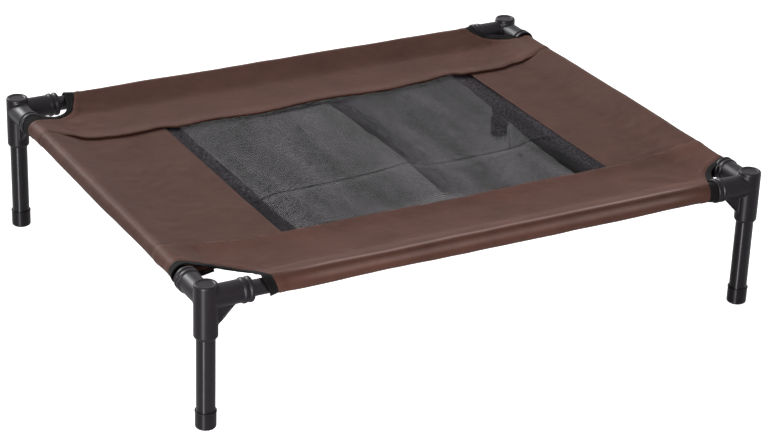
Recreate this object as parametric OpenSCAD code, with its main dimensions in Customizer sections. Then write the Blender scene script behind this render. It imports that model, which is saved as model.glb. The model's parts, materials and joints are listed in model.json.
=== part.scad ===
// Raised dog cot: a sewn cover with a mesh window, stretched on a knock-down tube frame.
// Millimetres. The origin is on the floor under the middle of the cot, X runs along the long
// side, the front is at -Y and Z is up.

/* [Overall size] */
// Length over the corner connectors
overall_length = 762; // [640:1:1000]
// Width over the corner connectors
overall_width = 612; // [500:1:800]
// Height from the floor to the crowns of the connectors
overall_height = 180; // [150:1:260]

/* [Tubes] */
// Outside diameter of the four rails
rail_diameter = 19; // [16:0.5:25]
// Outside diameter of the four legs
leg_diameter = 22; // [19:0.5:28]
// Wall of the rail and leg tubes
tube_wall = 1; // [0.8:0.1:2]
// Radial clearance of a tube in the socket it is pushed into
push_clearance = 0.1; // [0.05:0.01:0.1]

/* [Corner connectors] */
// Wall of the upright socket round the leg
socket_wall = 2.9; // [2:0.1:5]
// How deep a leg goes into its socket
leg_depth = 53.5; // [36:0.5:60]
// Thickness of the crown above the leg, down to the leg's stop
crown_thickness = 13; // [4:0.5:20]
// Wall of the arms round the rails
arm_wall = 3.9; // [2:0.1:5]
// Distance from the leg's axis to the end of an arm
arm_reach = 54; // [46:1:70]
// Wall between the leg's bore and the end of a rail
stop_wall = 5.9; // [2:0.1:10]
// Height of the crown above the arms
crown_rise = 4.5; // [2:0.5:8]
// Depth of the dish in the crown
dish_depth = 1.2; // [0.5:0.1:2]
// Width of the rim round the dish
dish_rim = 3.5; // [2:0.5:6]
// Radius of the crown's outer edge
crown_radius = 2; // [0.5:0.25:3]
// Chamfer at the mouth of the upright socket
mouth_chamfer = 2; // [0.5:0.25:2.5]
// Number of grip ridges at the end of each arm
ridge_count = 2; // [1:1:3]
// Height of the ridges above the arm
ridge_rise = 1.5; // [0.5:0.1:3]
// Width of one ridge
ridge_width = 5; // [2:0.5:6]
// Groove between two ridges
ridge_gap = 2.5; // [1:0.5:3]
// Chamfer on the edges of a ridge
ridge_chamfer = 1; // [0.25:0.25:1]
// Run of the gusset along an arm, from the side of the socket
gusset_run = 22; // [16:1:26]
// Height of the gusset's lower end above the mouth of the socket
gusset_lift = 12; // [0:0.5:16]
// Thickness of the gusset
gusset_thickness = 5; // [3:0.5:8]
// Width of the rim round the gusset's sunk web
gusset_rim = 3; // [2:0.5:4]
// Depth of the sunk web on each side of the gusset
gusset_sink = 1; // [0.5:0.1:1.2]

/* [Foot caps] */
// Wall of a foot cap round its leg
foot_wall = 1.15; // [1:0.05:3]
// Height of a foot cap
foot_height = 22; // [15:1:30]
// Thickness of the foot cap's sole
foot_sole = 4; // [2:0.5:8]
// Radius of the sole's edge
foot_radius = 2.5; // [0.5:0.25:3]
// Height of the lip at the top of a foot cap
foot_lip_height = 2; // [1:0.5:4]
// How far the lip stands out
foot_lip = 0.4; // [0.2:0.1:1]

/* [Cover] */
// Thickness of the border cloth
cloth_thickness = 1; // [0.6:0.1:1.5]
// Gap between a rail and the sleeve round it
sleeve_clearance = 0.3; // [0.2:0.05:1]
// Distance from a rail's axis to the seam that closes its sleeve
sleeve_seam = 42; // [34:1:60]
// Drop of the deck below the axes of the rails
deck_drop = 2; // [0:0.5:4]
// Width of the front border, from the rail's axis to the mesh
front_border = 119; // [100:1:150]
// Width of the back border
back_border = 126; // [100:1:150]
// Width of the left border
left_border = 152; // [115:1:170]
// Width of the right border
right_border = 126; // [100:1:150]

/* [Corner cut-outs] */
// Bare tube between the left connectors and the tape on the long rails
bare_left = 21; // [0.5:0.5:30]
// Bare tube between the right connectors and the tape on the long rails
bare_right = 1; // [0.5:0.5:30]
// Bare tube between the front connectors and the tape on the short rails
bare_front = 5; // [0.5:0.5:30]
// Bare tube between the back connectors and the tape on the short rails
bare_back = 1; // [0.5:0.5:30]
// Radius of the tape's free edge where the slanting stretch of a cut-out turns towards a rail
tape_radius = 10; // [4:1:16]
// Width of the tape that binds a cut-out
binding_width = 10; // [6:0.5:14]
// How far the tape stands out from the cloth
binding_lift = 0.4; // [0.2:0.1:0.8]

/* [Mesh panel] */
// Thickness of the mesh
mesh_thickness = 1; // [0.6:0.1:2]
// Width of the mesh that is sewn under each border
mesh_hem = 10; // [6:1:20]
// Openings along the length of the mesh
mesh_columns = 20; // [6:1:20]
// Openings across the width of the mesh
mesh_rows = 15; // [4:1:15]
// Width of a strand of the mesh
mesh_strand = 3; // [1:0.5:6]

/* [Hidden] */
$fn = 96;
// Straight steps in the arc of an edge or a turn
ARC_STEPS = 4;
// Straight steps in the arc of a sleeve round its rail
SLEEVE_STEPS = 24;
// How far a cutting shape runs past the face it opens
OVERRUN = 1;
// Where the deck starts in the solid tip of a sleeve, as a share of that tip's length
TIP_SHARE = 0.75;
// Half of the turn between a rail and the slanting stretch of a cut-out
HALF_TURN = 22.5;

SIDES = ["front", "back", "left", "right"];
// Each corner has a name and the signs of its x and its y.
CORNERS = [
    ["front_left", -1, -1],
    ["front_right", 1, -1],
    ["back_left", -1, 1],
    ["back_right", 1, 1]
];
CORNER_PIECES = ["connector", "leg", "foot", "binding"];

BROWN = [0.39, 0.30, 0.28];
BLACK = [0.19, 0.18, 0.19];
COATED = [0.25, 0.24, 0.26];
TAPE = [0.10, 0.09, 0.09];
MESH_GREY = [0.31, 0.30, 0.31];

leg_bore_r = leg_diameter / 2 + push_clearance;
rail_bore_r = rail_diameter / 2 + push_clearance;
socket_r = leg_bore_r + socket_wall;
arm_r = rail_bore_r + arm_wall;
ridge_r = arm_r + ridge_rise;
foot_r = leg_bore_r + foot_wall;
outer_r = max(socket_r, ridge_r);
leg_x = overall_length / 2 - outer_r;
leg_y = overall_width / 2 - outer_r;
rail_z = overall_height - crown_rise - arm_r;
rail_stop = leg_bore_r + stop_wall;
leg_top_z = overall_height - crown_thickness;
mouth_z = leg_top_z - leg_depth;

sleeve_inner_r = rail_diameter / 2 + sleeve_clearance;
sleeve_outer_r = sleeve_inner_r + cloth_thickness;
deck_z = rail_z - deck_drop;
// The deck starts inside the solid tip of a sleeve, where its two layers have met.
deck_start = sleeve_seam * (1 - TIP_SHARE * cloth_thickness / sleeve_outer_r);
front_edge = -leg_y + front_border;
back_edge = leg_y - back_border;
left_edge = -leg_x + left_border;
right_edge = leg_x - right_border;

// Points of an arc round centre, from angle start to angle end
function arc(centre, radius, start, end, steps = ARC_STEPS) = [
    for (step = [0 : steps])
        let (angle = start + (end - start) * step / steps)
        centre + radius * [cos(angle), sin(angle)]
];

// Outline of a corner cut-out, drawn in by inset, in a corner's own frame: x runs along the long
// rail and y along the short rail, both away from the leg.
function cut_outline(corner, inset) =
    let (
        beyond = -2 * sleeve_outer_r,
        bare_x = corner[1] < 0 ? bare_left : bare_right,
        bare_y = corner[2] < 0 ? bare_front : bare_back,
        width = binding_width - inset,
        along = arm_reach + bare_x + width,
        across = arm_reach + bare_y + width,
        slant = arm_reach + ridge_r + bare_x + bare_y + width * sqrt(2),
        radius = tape_radius + width,
        tangent = radius * tan(HALF_TURN)
    )
    concat(
        [[beyond, beyond], [along, beyond]],
        arc([along - radius, slant - along - tangent], radius, 0, 2 * HALF_TURN),
        arc([slant - across - tangent, across - radius], radius, 2 * HALF_TURN, 90),
        [[beyond, across]]
    );

// Places its children in a corner's own frame.
module at_corner(corner) {
    translate([corner[1] * leg_x, corner[2] * leg_y, 0])
        mirror([corner[1] > 0 ? 1 : 0, 0, 0])
            mirror([0, corner[2] > 0 ? 1 : 0, 0])
                children();
}

// Turns an upright shape at the origin so that it lies along x, or along y.
module along_x() {
    rotate([0, 90, 0])
        children();
}

module along_y() {
    rotate([-90, 0, 0])
        children();
}

module tube(diameter, length) {
    difference() {
        cylinder(d = diameter, h = length);
        translate([0, 0, -OVERRUN])
            cylinder(d = diameter - 2 * tube_wall, h = length + 2 * OVERRUN);
    }
}

// The upright socket's outside, with its dished crown and chamfered mouth
module socket_body() {
    dish_r = socket_r - dish_rim;
    rotate_extrude()
        polygon(concat(
            [
                [0, mouth_z],
                [socket_r - mouth_chamfer, mouth_z],
                [socket_r, mouth_z + mouth_chamfer]
            ],
            arc([socket_r - crown_radius, overall_height - crown_radius], crown_radius, 0, 90),
            [
                [dish_r, overall_height],
                [dish_r - dish_depth, overall_height - dish_depth],
                [0, overall_height - dish_depth]
            ]
        ));
}

// One arm's outside, upright, with its grip ridges at the far end
module arm_body() {
    ridge_pitch = ridge_width + ridge_gap;
    cylinder(r = arm_r, h = arm_reach);
    for (ridge = [0 : ridge_count - 1])
        translate([0, 0, arm_reach - ridge_width - ridge * ridge_pitch])
            rotate_extrude()
                polygon([
                    [0, 0],
                    [ridge_r - ridge_chamfer, 0],
                    [ridge_r, ridge_chamfer],
                    [ridge_r, ridge_width - ridge_chamfer],
                    [ridge_r - ridge_chamfer, ridge_width],
                    [0, ridge_width]
                ]);
}

// The gusset under the arm along x, with a sunk web on each side
module gusset() {
    root = leg_bore_r + socket_wall / 2;
    under = rail_z - arm_r;
    inside = under + arm_wall / 2;
    foot = mouth_z + gusset_lift;
    reach = socket_r + gusset_run;
    web_run = gusset_run - gusset_rim * (1 + sqrt(2));
    web_x = socket_r + gusset_rim;
    web_z = under - gusset_rim;
    web_drop = web_run * (under - foot) / gusset_run;
    difference() {
        rotate([90, 0, 0])
            linear_extrude(gusset_thickness, center = true)
                polygon([
                    [root, foot],
                    [socket_r, foot],
                    [reach, under],
                    [reach, inside],
                    [root, inside]
                ]);
        for (side = [-1, 1])
            translate([0, side * gusset_thickness / 2, 0])
                rotate([90, 0, 0])
                    linear_extrude(2 * gusset_sink, center = true)
                        polygon([
                            [web_x, web_z - web_drop],
                            [web_x + web_run, web_z],
                            [web_x, web_z]
                        ]);
    }
}

// A corner connector: a socket for the leg and an arm for each rail
module connector(corner) {
    color(BLACK)
        at_corner(corner)
            difference() {
                union() {
                    socket_body();
                    translate([0, 0, rail_z]) {
                        along_x()
                            arm_body();
                        along_y()
                            arm_body();
                    }
                    gusset();
                    mirror([1, -1, 0])
                        gusset();
                }
                translate([0, 0, mouth_z - OVERRUN])
                    cylinder(r = leg_bore_r, h = leg_depth + OVERRUN);
                translate([rail_stop, 0, rail_z])
                    along_x()
                        cylinder(r = rail_bore_r, h = arm_reach);
                translate([0, rail_stop, rail_z])
                    along_y()
                        cylinder(r = rail_bore_r, h = arm_reach);
            }
}

// A leg tube, from the sole of its foot cap to the stop in its socket
module leg(corner) {
    color(COATED)
        at_corner(corner)
            translate([0, 0, foot_sole])
                tube(leg_diameter, leg_top_z - foot_sole);
}

// A foot cap, pushed over the end of a leg
module foot(corner) {
    color(BLACK)
        at_corner(corner)
            difference() {
                rotate_extrude()
                    polygon(concat(
                        [[0, 0]],
                        arc([foot_r - foot_radius, foot_radius], foot_radius, -90, 0),
                        [
                            [foot_r, foot_height - foot_lip_height],
                            [foot_r + foot_lip, foot_height - foot_lip_height + foot_lip],
                            [foot_r + foot_lip, foot_height - foot_lip],
                            [foot_r, foot_height],
                            [0, foot_height]
                        ]
                    ));
                translate([0, 0, foot_sole])
                    cylinder(r = leg_bore_r, h = foot_height);
            }
}

// A rail along the front (-1) or the back (1)
module long_rail(side) {
    color(COATED)
        translate([rail_stop - leg_x, side * leg_y, rail_z])
            along_x()
                tube(rail_diameter, 2 * (leg_x - rail_stop));
}

// A rail along the left (-1) or the right (1)
module short_rail(side) {
    color(COATED)
        translate([side * leg_x, rail_stop - leg_y, rail_z])
            along_y()
                tube(rail_diameter, 2 * (leg_y - rail_stop));
}

// A drop-shaped outline: an arc round a rail's axis, drawn out to a tip on the deck
module drop(radius, reach, fall) {
    tip = [reach, -fall];
    lean = -atan2(fall, reach);
    spread = acos(radius / norm(tip));
    polygon(concat(
        [tip],
        arc([0, 0], radius, lean + spread, 360 + lean - spread, SLEEVE_STEPS)
    ));
}

// Section of a sleeve, with the cloth lift thicker on its outside, and x towards the deck
module sleeve_section(lift) {
    grown = (sleeve_outer_r + lift) / sleeve_outer_r;
    hollow = sleeve_inner_r / sleeve_outer_r;
    difference() {
        drop(sleeve_outer_r * grown, sleeve_seam * grown, deck_drop * grown);
        drop(sleeve_outer_r * hollow, sleeve_seam * hollow, deck_drop * hollow);
    }
}

// The sleeve of the front (-1) or back (1) rail, from x = start to x = end
module long_sleeve(side, start, end) {
    translate([start, side * leg_y, rail_z])
        mirror([0, side > 0 ? 1 : 0, 0])
            rotate([90, 0, 90])
                linear_extrude(end - start)
                    sleeve_section(0);
}

// The sleeve of the left (-1) or right (1) rail, from y = start to y = end
module short_sleeve(side, start, end) {
    translate([side * leg_x, end, rail_z])
        mirror([side > 0 ? 1 : 0, 0, 0])
            rotate([90, 0, 0])
                linear_extrude(end - start)
                    sleeve_section(0);
}

// A flat piece of cloth between two opposite corners
module deck_cloth(low, high) {
    translate([low[0], low[1], deck_z - cloth_thickness / 2])
        cube([high[0] - low[0], high[1] - low[1], cloth_thickness]);
}

// A border along the front (-1) or the back (1). It runs the full length and closes round the
// ends of the short rails too.
module long_border(side) {
    edge = side < 0 ? front_edge : back_edge;
    outer = side * (leg_y - deck_start);
    low_y = min(edge, outer);
    high_y = max(edge, outer);
    color(BROWN)
        difference() {
            union() {
                long_sleeve(side, deck_start - leg_x, leg_x - deck_start);
                for (end = [-1, 1])
                    short_sleeve(end, low_y, high_y);
                deck_cloth([deck_start - leg_x, low_y], [leg_x - deck_start, high_y]);
            }
            for (corner = CORNERS)
                if (corner[2] == side)
                    at_corner(corner)
                        linear_extrude(2 * overall_height)
                            polygon(cut_outline(corner, 0));
        }
}

// A border along the left (-1) or the right (1), between the two long borders
module short_border(side) {
    edge = side < 0 ? left_edge : right_edge;
    outer = side * (leg_x - deck_start);
    color(BROWN)
        union() {
            short_sleeve(side, front_edge, back_edge);
            deck_cloth([min(edge, outer), front_edge], [max(edge, outer), back_edge]);
        }
}

// The tape that binds a corner cut-out and the ends of the two sleeves beside it
module binding(corner) {
    far = 2 * arm_reach + max(bare_left, bare_right, bare_front, bare_back);
    thickness = cloth_thickness + 2 * binding_lift;
    color(TAPE)
        at_corner(corner)
            intersection() {
                union() {
                    translate([deck_start / 2, 0, rail_z])
                        rotate([90, 0, 90])
                            linear_extrude(far)
                                sleeve_section(binding_lift);
                    translate([0, far, rail_z])
                        rotate([90, 0, 0])
                            linear_extrude(far - deck_start / 2)
                                sleeve_section(binding_lift);
                    translate([deck_start, deck_start, deck_z - thickness / 2])
                        cube([far, far, thickness]);
                }
                linear_extrude(2 * overall_height)
                    difference() {
                        polygon(cut_outline(corner, 0));
                        polygon(cut_outline(corner, binding_width));
                    }
            }
}

// The mesh window, sewn under the borders
module mesh_panel() {
    pitch_x = (right_edge - left_edge - mesh_strand) / mesh_columns;
    pitch_y = (back_edge - front_edge - mesh_strand) / mesh_rows;
    opening = [pitch_x - mesh_strand, pitch_y - mesh_strand];
    color(MESH_GREY)
        translate([0, 0, deck_z - cloth_thickness / 2 - mesh_thickness])
            linear_extrude(mesh_thickness)
                difference() {
                    translate([left_edge - mesh_hem, front_edge - mesh_hem])
                        square([
                            right_edge - left_edge + 2 * mesh_hem,
                            back_edge - front_edge + 2 * mesh_hem
                        ]);
                    for (column = [0 : mesh_columns - 1])
                        for (row = [0 : mesh_rows - 1])
                            translate([
                                left_edge + mesh_strand + column * pitch_x,
                                front_edge + mesh_strand + row * pitch_y
                            ])
                                square(opening);
                }
}

for (corner = CORNERS) {
    connector(corner);
    leg(corner);
    foot(corner);
    binding(corner);
}
long_rail(-1);  // front_rail
long_rail(1);  // back_rail
short_rail(-1);  // left_rail
short_rail(1);  // right_rail
long_border(-1);  // front_border
long_border(1);  // back_border
short_border(-1);  // left_border
short_border(1);  // right_border
mesh_panel();
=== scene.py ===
"""A raised dog cot: its sewn cover, mesh window, bound corners, moulded connectors and coated tubes."""

import json
import math

import bmesh
import bpy
from mathutils import Matrix, Vector, noise


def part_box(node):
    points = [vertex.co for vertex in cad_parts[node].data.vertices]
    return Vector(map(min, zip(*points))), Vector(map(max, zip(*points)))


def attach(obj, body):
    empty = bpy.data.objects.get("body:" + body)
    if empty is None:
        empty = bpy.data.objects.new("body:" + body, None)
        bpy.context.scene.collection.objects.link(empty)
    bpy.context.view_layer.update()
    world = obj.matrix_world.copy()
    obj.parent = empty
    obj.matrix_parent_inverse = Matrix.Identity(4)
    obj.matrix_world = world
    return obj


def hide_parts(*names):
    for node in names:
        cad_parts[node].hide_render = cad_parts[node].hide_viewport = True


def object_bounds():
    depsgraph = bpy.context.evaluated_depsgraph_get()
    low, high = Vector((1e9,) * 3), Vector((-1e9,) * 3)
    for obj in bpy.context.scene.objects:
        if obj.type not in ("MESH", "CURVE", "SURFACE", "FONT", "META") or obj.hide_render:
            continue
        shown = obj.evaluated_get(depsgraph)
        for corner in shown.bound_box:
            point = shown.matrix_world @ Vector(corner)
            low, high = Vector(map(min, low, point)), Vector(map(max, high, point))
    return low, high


bl_info = {
    "name": "Raised Dog Cot",
    "version": (1, 0, 0),
    "blender": (4, 5, 0),
    "location": "View3D > Sidebar > Cot",
    "description": "Dresses the frame of a raised dog cot with its sewn cover, mesh window and finishes",
    "category": "Add Mesh",
}

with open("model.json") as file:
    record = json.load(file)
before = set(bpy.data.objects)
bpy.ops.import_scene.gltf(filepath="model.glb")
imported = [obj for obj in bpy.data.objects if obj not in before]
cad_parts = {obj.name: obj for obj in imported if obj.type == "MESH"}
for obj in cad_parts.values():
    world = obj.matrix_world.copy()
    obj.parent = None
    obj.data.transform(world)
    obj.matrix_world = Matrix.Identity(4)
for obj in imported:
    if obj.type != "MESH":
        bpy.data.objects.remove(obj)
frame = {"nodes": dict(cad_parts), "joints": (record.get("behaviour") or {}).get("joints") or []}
CAD_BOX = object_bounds()

# Corners and sides of the cot, with the signs of the quarter or half that each lies in
CORNERS = {"front_left": (-1, -1), "front_right": (1, -1), "back_left": (-1, 1), "back_right": (1, 1)}
LONG_SIDES = {"front": -1, "back": 1}
SHORT_SIDES = {"left": -1, "right": 1}
MERGE = 1e-6  # points closer than this are one


def middle(node):
    """The middle of a node's box."""
    low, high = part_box(node)
    return (low + high) / 2


# Places that the cover takes from the frame
LEG_X = middle("front_right_leg").x
LEG_Y = middle("back_left_leg").y
ARM_REACH = LEG_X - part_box("front_right_connector")[0].x
RAIL_Z = middle("front_rail").z
RAIL_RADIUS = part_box("front_rail")[1].z - RAIL_Z
DECK_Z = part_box("mesh_panel")[1].z
WINDOW = {
    "front": -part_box("front_border")[1].y,
    "back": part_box("back_border")[0].y,
    "left": -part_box("left_border")[1].x,
    "right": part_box("right_border")[0].x,
}

# The floor lies low enough for the legs to be pulled out of their sockets above it
LEG_TRAVEL = max(joint["range_m"][1] for joint in frame["joints"])
FLOOR_Z = CAD_BOX[0].z - LEG_TRAVEL

# Bends of the cut-outs, as distances from the leg's axis along the long rail and along the short one
NOTCH_BENDS = {
    "front_left": ((0.0795, 0.041), (0.043, 0.075)),
    "front_right": ((0.066, -0.009), (0.028, 0.0545), (-0.005, 0.0615)),
    "back_left": ((0.0785, -0.002), (0.0615, 0.0365), (-0.003, 0.0685)),
    "back_right": ((0.065, 0.002), (0.055, 0.0195), (0.007, 0.0555)),
}
# How far the mouth of a long sleeve slants back on the rail's outer side, for each length round the rail
MOUTH_SLANT = {"front_left": 0.28, "front_right": 0.0, "back_left": 0.0, "back_right": 0.0}
SLANT_REACH = 0.2  # the slant is gone at this distance from the leg's axis
# The cut-outs and their hems lie this close to the leg's axis, along the long rail and along the short one
CORNER_LONG, CORNER_SHORT = 0.13, 0.11


def linear(red, green, blue):
    """A colour written in 0 to 255 steps, as the linear values that a shader takes."""
    steps = (channel / 255 for channel in (red, green, blue))
    return tuple(s / 12.92 if s <= 0.04045 else ((s + 0.055) / 1.055) ** 2.4 for s in steps)


def length(name, description, default):
    """A size in metres that the sidebar shows."""
    return bpy.props.FloatProperty(
        name=name, description=description, default=default, min=0, precision=5, unit="LENGTH"
    )


def angle(name, description, degrees):
    """An angle that the sidebar shows."""
    return bpy.props.FloatProperty(
        name=name, description=description, default=math.radians(degrees), unit="ROTATION"
    )


def tint(name, description, default):
    """A colour that the sidebar shows."""
    return bpy.props.FloatVectorProperty(
        name=name, description=description, default=default, size=3, min=0, max=1, subtype="COLOR"
    )


def amount(name, description, default):
    """A plain number that the sidebar shows."""
    return bpy.props.FloatProperty(name=name, description=description, default=default, min=0)


class CotCover(bpy.types.PropertyGroup):
    """Sizes and colours of the brown borders, their bindings and the stitching."""

    cloth: tint("Cloth", "Colour of the woven borders", linear(86, 58, 50))
    tape: tint("Tape", "Colour of the corner bindings", linear(17, 15, 16))
    thread: tint("Thread", "Colour of the thread in the borders", linear(78, 57, 52))
    tape_thread: tint("Tape thread", "Colour of the thread in the bindings", linear(26, 24, 25))
    thickness: length("Thickness", "Thickness of the cloth", 0.0009)
    ease: length("Ease", "Room between a rail and its sleeve", 0.001)
    seam: length("Seam", "Distance from a rail's axis to its sleeve's seam", 0.042)
    seam_bend: length("Seam bend", "How far the cloth bends to each side of a sleeve's seam", 0.007)
    under: length("Under", "How far the lower layer lies below the deck", 0.0032)
    hem: length("Hem", "Cloth of the lower layer past the seam", 0.010)
    sag: length("Sag", "How far the middle of the deck hangs", 0.004)
    fold: length("Fold", "Radius of the turned edges", 0.0007)
    turned: length("Turned edge", "Width of the turned edges", 0.010)
    notch_radius: length("Notch radius", "Radius of the bends in a cut-out", 0.030)
    tape_width: length("Tape width", "Width of a binding on each face", 0.007)
    tape_swell: length("Tape swell", "Half of a binding's thickness", 0.0010)
    flare: length("Flare", "How far the mouths of the sleeves open", 0.0020)
    cuff: length("Cuff", "How much wider a binding is where it passes over a rail", 0.006)
    stitch: length("Stitch", "Length of one stitch and its gap", 0.0036)
    weave: length("Weave", "Pitch of the cloth's threads", 0.0009)
    # Painted shade: the short strips are drawn in a darker copy of the cloth, standing in for the lower light
    # on them
    cross_grain_shade: amount("Cross grain", "Tone of the strips that are cut across the cloth", 0.87)


class CotMesh(bpy.types.PropertyGroup):
    """Sizes and colour of the mesh window."""

    strand: tint("Strand", "Colour of the coated strands", linear(47, 44, 48))
    pitch: length("Pitch", "Distance from strand to strand", 0.0022)
    width: length("Width", "Width of a strand", 0.00143)
    thickness: length("Thickness", "Thickness of a strand", 0.00024)
    drop: length("Drop", "How far the mesh lies below the deck", 0.0016)
    allowance: length("Allowance", "Mesh that lies under the borders", 0.020)
    ridge: length("Ridge", "Height of the packing crease across the window", 0.0085)
    ridge_spread: length("Ridge spread", "How far the packing crease reaches to each side", 0.034)
    pinch: length("Pinch", "Height of the packing crease along the window", 0.0011)
    pinch_spread: length("Pinch spread", "Half width of the crease along the window", 0.004)


class CotFrame(bpy.types.PropertyGroup):
    """Finish of the moulded and coated parts."""

    moulding: tint("Moulding", "Colour of the connectors", linear(26, 21, 27))
    coating: tint("Coating", "Colour of the coated tubes", linear(20, 16, 21))
    rubber: tint("Cap", "Colour of the foot caps", linear(22, 18, 23))
    voxel: length("Grain", "Cell size at which the connectors are rounded", 0.0005)
    blend: length("Blend", "How far the fillets reach from a socket", 0.004)


class CotStage(bpy.types.PropertyGroup):
    """Camera, light and floor."""

    azimuth: angle("Azimuth", "Direction that the camera stands in", -29.313)
    elevation: angle("Elevation", "Height of the camera over the horizon", 25.294)
    roll: angle("Roll", "Turn of the camera about its own axis", 2.068)
    distance: length("Distance", "Distance from the camera to its target", 2.99323)
    target: bpy.props.FloatVectorProperty(
        name="Target", description="Point that the camera looks at", size=3,
        default=(0.0, -0.030705, 0.069562), subtype="XYZ", unit="LENGTH",
    )
    lens: amount("Lens", "Focal length in millimetres", 110.92)
    floor: tint("Floor", "Colour of the floor", (0.82, 0.82, 0.82))
    ambient: amount("Ambient", "Strength of the light from all round", 0.15)
    glow: amount("Glow", "White that the camera sees added to the floor", 0.84)
    mirrored_glow: amount("Mirrored glow", "White that mirrors and glass see added to the floor", 0.15)


def feed(tree, socket, value):
    """Links an input from a socket, or sets it to a value."""
    if isinstance(value, bpy.types.NodeSocket):
        tree.links.new(value, socket)
    else:
        socket.default_value = value


def add(tree, kind, settings=None, **inputs):
    """A new shader node. Its inputs are values, or sockets to link from; _ in a name stands for a space."""
    node = tree.nodes.new(kind)
    for name, value in (settings or {}).items():
        setattr(node, name, value)
    for name, value in inputs.items():
        feed(tree, node.inputs[name.replace("_", " ")], value)
    return node


def math_node(tree, operation, first, second=0.0, kind="ShaderNodeMath"):
    """The result of one Math node, or of a Vector Math node where that kind is given."""
    node = add(tree, kind, {"operation": operation})
    feed(tree, node.inputs[0], first)
    feed(tree, node.inputs[1], second)
    return node.outputs[0]


def start_material(name):
    """A new material and its empty node tree."""
    material = bpy.data.materials.new(name)
    material.use_nodes = True
    material.node_tree.nodes.clear()
    return material, material.node_tree


def surfaced(material, **inputs):
    """Ends a material in one surface with these inputs, and returns it."""
    surface = add(material.node_tree, "ShaderNodeBsdfPrincipled", **inputs)
    add(material.node_tree, "ShaderNodeOutputMaterial", Surface=surface.outputs[0])
    return material


def mottle(tree, where, scale, detail, settings=None, **inputs):
    """Noise with about scale features to the metre, from 0 to 1."""
    node = add(tree, "ShaderNodeTexNoise", settings, Vector=where, Scale=scale, Detail=detail, **inputs)
    return node.outputs["Fac"]


def bumped(tree, strength, depth, height, **under):
    """A normal that follows a height, laid over another normal where one is given."""
    node = add(tree, "ShaderNodeBump", Strength=strength, Distance=depth, Height=height, **under)
    return node.outputs["Normal"]


def shaded(tree, where, colour, spread, scale):
    """The colour, made lighter and darker by soft blotches of about 1 / scale."""
    ramp = add(tree, "ShaderNodeValToRGB", Fac=mottle(tree, where, scale, 3.0, Roughness=0.6))
    stops = ramp.color_ramp.elements
    for stop, share, position in zip(stops, (1 - spread, 1 + spread), (0.3, 0.7)):
        stop.color = [min(1.0, c * share) for c in colour] + [1.0]
        stop.position = position
    return ramp.outputs["Color"]


def between(tree, factor, low, high):
    """A value that runs from low to high as the factor runs from 0 to 1."""
    return add(tree, "ShaderNodeMapRange", Value=factor, To_Min=low, To_Max=high).outputs["Result"]


WAVE_TURN = 20.0  # a wave texture turns through 20 radians for each unit at a scale of 1


def threads(tree, where, direction, pitch):
    """Rounded threads of one direction, from 0 between them to 1 on their tops."""
    wave = add(
        tree, "ShaderNodeTexWave", {"bands_direction": direction, "wave_profile": "SIN"},
        Vector=where, Scale=math.tau / WAVE_TURN / pitch,
    )
    return wave.outputs["Fac"]


# The cloth's patterns, in features to the metre, and the depths of its relief in metres
SLUBS, CRINKLES, CRUMPLES, BLOTCHES, CREASES, PATCHES = 400.0, 70.0, 42.0, 14.0, 13.0, 8.0
THREAD_DEPTH, CRINKLE_DEPTH, CREASE_DEPTH = 0.00012, 0.0012, 0.0014
RIDGED = {"noise_type": "RIDGED_MULTIFRACTAL"}
# Where the noise makes a crumpled patch, and how far the colour pales under the painted highlights and
# deepens under the painted shade
PATCH_FROM, PATCH_FULL = 0.48, 0.66
UNLIT_SATURATION, HIGHLIGHT_PALING, PALEST_HIGHLIGHT = 1.35, 0.35, 0.62


def woven_cloth(name, colour, pitch):
    """Plain-woven polyester cloth: crossing threads, slubs, packing creases, painted highlights and painted
    shade along the sleeves, and a soft sheen.
    """
    material, tree = start_material(name)
    where = add(tree, "ShaderNodeUVMap", {"uv_map": "Pattern"}).outputs["UV"]
    warp = threads(tree, where, "X", pitch)
    weft = threads(tree, where, "Y", pitch)
    over = add(tree, "ShaderNodeTexChecker", Vector=where, Scale=1 / pitch).outputs["Fac"]
    weave = add(tree, "ShaderNodeMix", {"data_type": "FLOAT"}, Factor=over, A=warp, B=weft).outputs[0]
    slub = mottle(tree, where, SLUBS, 2.0)
    crinkle = mottle(tree, where, CRINKLES, 4.0, Roughness=0.6)
    patch = add(
        tree, "ShaderNodeMapRange", {"interpolation_type": "SMOOTHSTEP"},
        Value=mottle(tree, where, PATCHES, 1.0), From_Min=PATCH_FROM, From_Max=PATCH_FULL,
    )
    crumple = math_node(tree, "MULTIPLY", mottle(tree, where, CRUMPLES, 2.0, RIDGED), patch.outputs["Result"])
    crease = math_node(tree, "ADD", mottle(tree, where, CREASES, 2.0, RIDGED), crumple)
    packed = bumped(tree, 1.0, CREASE_DEPTH, crease)
    dents = bumped(tree, 0.6, CRINKLE_DEPTH, crinkle, Normal=packed)
    relief = math_node(tree, "ADD", weave, math_node(tree, "MULTIPLY", slub, 0.5))
    fleck = math_node(tree, "MULTIPLY", between(tree, slub, 0.92, 1.08), between(tree, crinkle, 0.88, 1.12))
    # Painted highlights and painted shade: sleeve crests and bulges are drawn lighter and paler, creases and
    # turned edges darker
    light_paint = add(tree, "ShaderNodeAttribute", {"attribute_name": "light_paint"}).outputs["Fac"]
    paled = math_node(tree, "SUBTRACT", UNLIT_SATURATION, math_node(tree, "MULTIPLY", light_paint, HIGHLIGHT_PALING))
    tone = add(
        tree, "ShaderNodeHueSaturation", Color=shaded(tree, where, colour, 0.15, BLOTCHES),
        Value=math_node(tree, "MULTIPLY", fleck, light_paint),
        Saturation=math_node(tree, "MAXIMUM", paled, PALEST_HIGHLIGHT),
    )
    return surfaced(
        material, Base_Color=tone.outputs["Color"], Roughness=between(tree, slub, 0.48, 0.62),
        Normal=bumped(tree, 0.35, THREAD_DEPTH, relief, Normal=dents),
        Sheen_Weight=0.02, Sheen_Roughness=0.4, Specular_IOR_Level=0.07,
    )


TAPE_RIB = 0.0011  # pitch of the tape's cross ribs
TAPE_FUZZ, TAPE_BLOTCHES = 900.0, 120.0  # features to the metre
TAPE_DEPTH = 0.0003


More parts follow.
